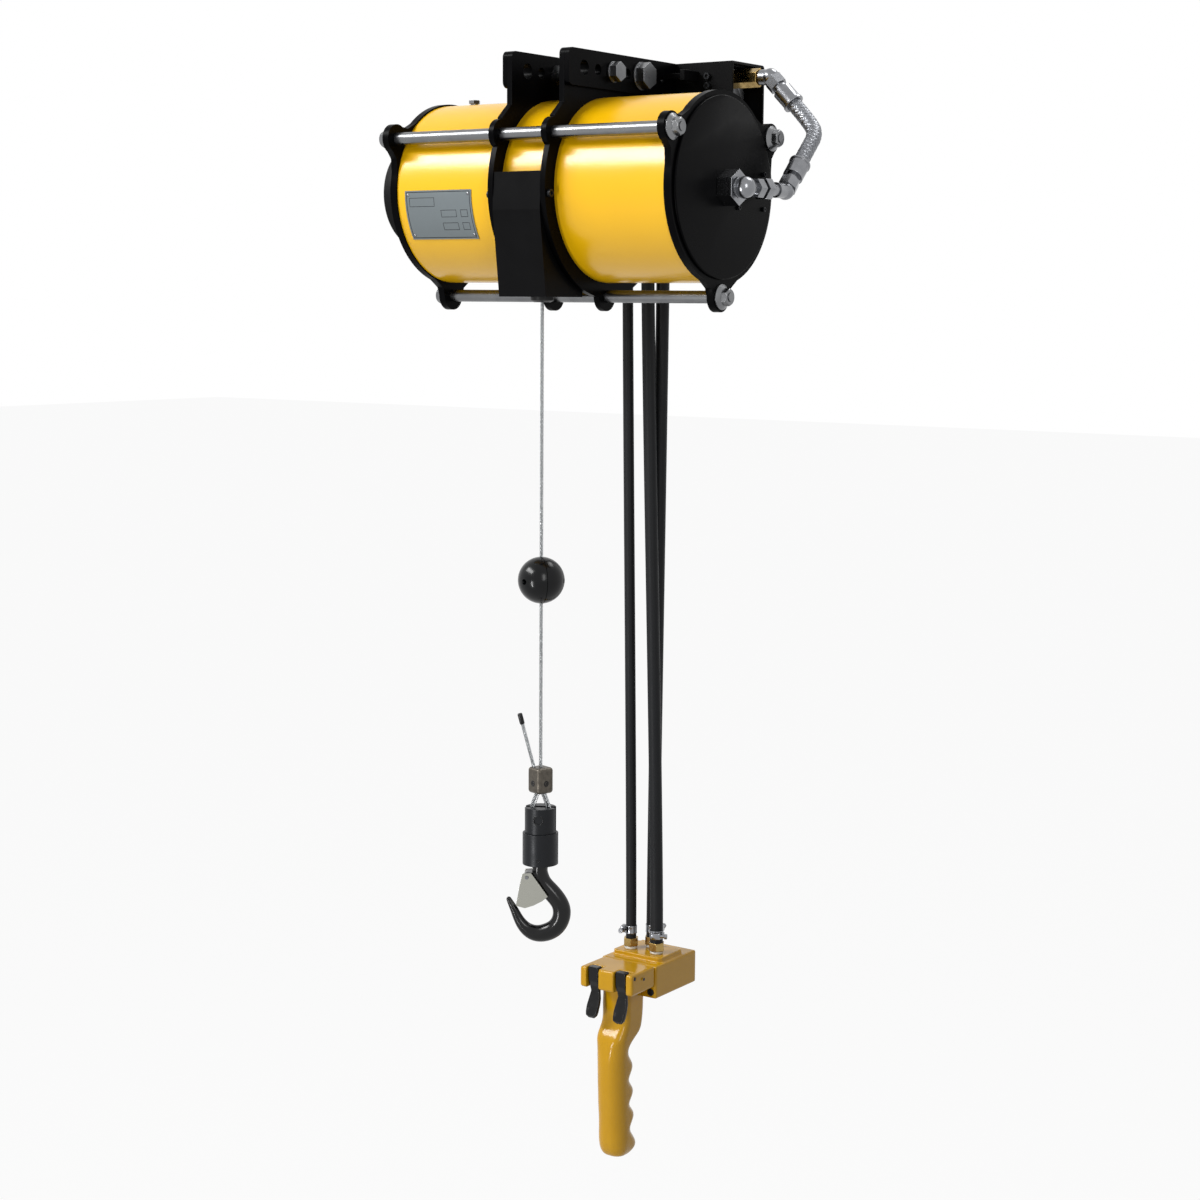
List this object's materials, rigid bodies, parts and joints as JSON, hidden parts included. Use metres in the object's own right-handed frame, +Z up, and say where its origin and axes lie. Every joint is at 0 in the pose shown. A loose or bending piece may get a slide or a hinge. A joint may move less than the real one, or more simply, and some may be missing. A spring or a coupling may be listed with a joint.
{
  "type": "tool balancer",
  "caption": "Air-powered tool balancer: a horizontal cylinder in hanger plates, with a swivel hook and stop ball on a wire rope, and a lever handle on hoses.",
  "frame": {"origin": "centre of the front suspension bore, midway between the hanger plates", "axes": "+X along the cylinder towards the air inlet, +Y back towards the valve box, +Z up; the rope and hoses hang along -Z"},
  "size_m": [0.4697, 0.337, 1.318],
  "materials": {
    "yellow_enamel": "gloss",
    "black_enamel": "semi-gloss",
    "black_sheet": "matt",
    "plated_steel": "bright",
    "ground_steel": "satin",
    "rope_steel": "bright",
    "nylon": "matt",
    "black_oxide": "matt",
    "plate_aluminium": "satin",
    "brass": "bright",
    "anodised_aluminium": "satin",
    "braided_steel": "bright",
    "rubber": "matt",
    "ochre_enamel": "semi-gloss",
    "black_lever": "satin",
    "ball_plastic": "gloss",
    "rope_fitting": "satin",
    "hook_enamel": "gloss"
  },
  "bodies": {
    "frame": {"left_end_plate": "black_enamel", "right_end_plate": "black_enamel", "left_shell": "yellow_enamel", "reel_housing": "yellow_enamel", "right_shell": "yellow_enamel", "left_ring_plate": "black_enamel", "right_ring_plate": "black_enamel", "hanger_bars": "black_enamel", "tie_rods": "plated_steel", "spacer_tubes": "plated_steel", "tie_rod_nuts": "plated_steel", "rope_guard": "black_sheet", "rope_guide": "nylon", "small_screws": "black_oxide", "name_plate": "plate_aluminium", "breather_plug": "plated_steel", "screw_end_cap": "black_sheet", "suspension_bolts": "plated_steel", "box_front_plate": "black_sheet", "box_cover": "black_sheet", "valve_manifold": "anodised_aluminium", "box_stay": "black_sheet", "box_outlet_fitting": "brass", "hose_elbows": "plated_steel", "braided_hose": "braided_steel", "hose_ferrules": "plated_steel", "swivel_fittings": "plated_steel", "swivel_body": "plated_steel", "ball_screw": "ground_steel", "stop_bumpers": "rubber", "left_hose": "rubber", "right_hose": "rubber", "rear_hose": "rubber", "hose_tails": "brass", "hose_bands": "plated_steel", "handle_body": "ochre_enamel", "handle_valve_housing": "ochre_enamel", "lever_pin": "ground_steel"},
    "carriage": {"piston": "anodised_aluminium", "piston_seal": "rubber", "thrust_bearing": "ground_steel"},
    "reel": {"reel": "anodised_aluminium", "ball_nut": "ground_steel", "wound_rope": "rope_steel"},
    "rope_end": {"lifting_rope": "rope_steel", "stop_ball": "ball_plastic", "rope_clamp": "rope_fitting", "rope_tail": "rope_steel", "rope_loop": "rope_steel"},
    "clevis": {"clevis_pin": "ground_steel", "swivel_clevis": "black_oxide", "swivel_cap": "black_oxide", "swivel_bearing": "ground_steel"},
    "hook": {"hook": "hook_enamel"},
    "latch": {"hook_latch": "plated_steel", "latch_pin": "ground_steel"},
    "up_lever": {"up_lever": "black_lever"},
    "down_lever": {"down_lever": "black_lever"},
    "up_plunger": {"up_plunger": "ground_steel"},
    "down_plunger": {"down_plunger": "ground_steel"}
  },
  "joints": [
    {"name": "hook_lift", "type": "slide", "parent": "frame", "child": "rope_end", "axis": [0, 0, 1], "range_m": [-1, 0.28], "deforming": ["lifting_rope"]},
    {"name": "reel_travel", "type": "slide", "parent": "frame", "child": "carriage", "axis": [1, 0, 0], "range_m": [-0.0128, 0.0456]},
    {"name": "reel_spin", "type": "hinge", "parent": "carriage", "child": "reel", "pos_m": [0, 0.055, -0.13], "axis": [1, 0, 0], "range_deg": [-230, 820]},
    {"name": "clevis_tilt", "type": "hinge", "parent": "rope_end", "child": "clevis", "pos_m": [0, -0.015, -0.839], "axis": [-0.4695, 0.8829, 0], "range_deg": [-20, 20]},
    {"name": "hook_swivel", "type": "hinge", "parent": "clevis", "child": "hook", "pos_m": [0, -0.015, -0.875], "axis": [0, 0, 1], "continuous": true},
    {"name": "hook_latch", "type": "hinge", "parent": "hook", "child": "latch", "pos_m": [-0.01236, -0.02157, -0.9073], "axis": [0.4695, -0.8829, 0], "range_deg": [0, 35], "stiffness_Nm_per_rad": 0.05, "springref_deg": -34.38},
    {"name": "up_lever_pivot", "type": "hinge", "parent": "frame", "child": "up_lever", "pos_m": [-0.029, 0.139, -1.064], "axis": [1, 0, 0], "range_deg": [0, 8], "stiffness_Nm_per_rad": 0.4, "springref_deg": -14.32},
    {"name": "up_plunger_slide", "type": "slide", "parent": "frame", "child": "up_plunger", "axis": [0, 1, 0], "range_m": [0, 0.002]},
    {"name": "down_lever_pivot", "type": "hinge", "parent": "frame", "child": "down_lever", "pos_m": [0.011, 0.139, -1.064], "axis": [1, 0, 0], "range_deg": [0, 8], "stiffness_Nm_per_rad": 0.4, "springref_deg": -14.32},
    {"name": "down_plunger_slide", "type": "slide", "parent": "frame", "child": "down_plunger", "axis": [0, 1, 0], "range_m": [0, 0.002]}
  ],
  "couplings": [
    {"joint": "reel_travel", "follows": "hook_lift", "ratio": -0.045473},
    {"joint": "reel_spin", "follows": "hook_lift", "rad_per_m": -14.286},
    {"joint": "up_plunger_slide", "follows": "up_lever_pivot", "m_per_rad": 0.014},
    {"joint": "down_plunger_slide", "follows": "down_lever_pivot", "m_per_rad": 0.014}
  ]
}
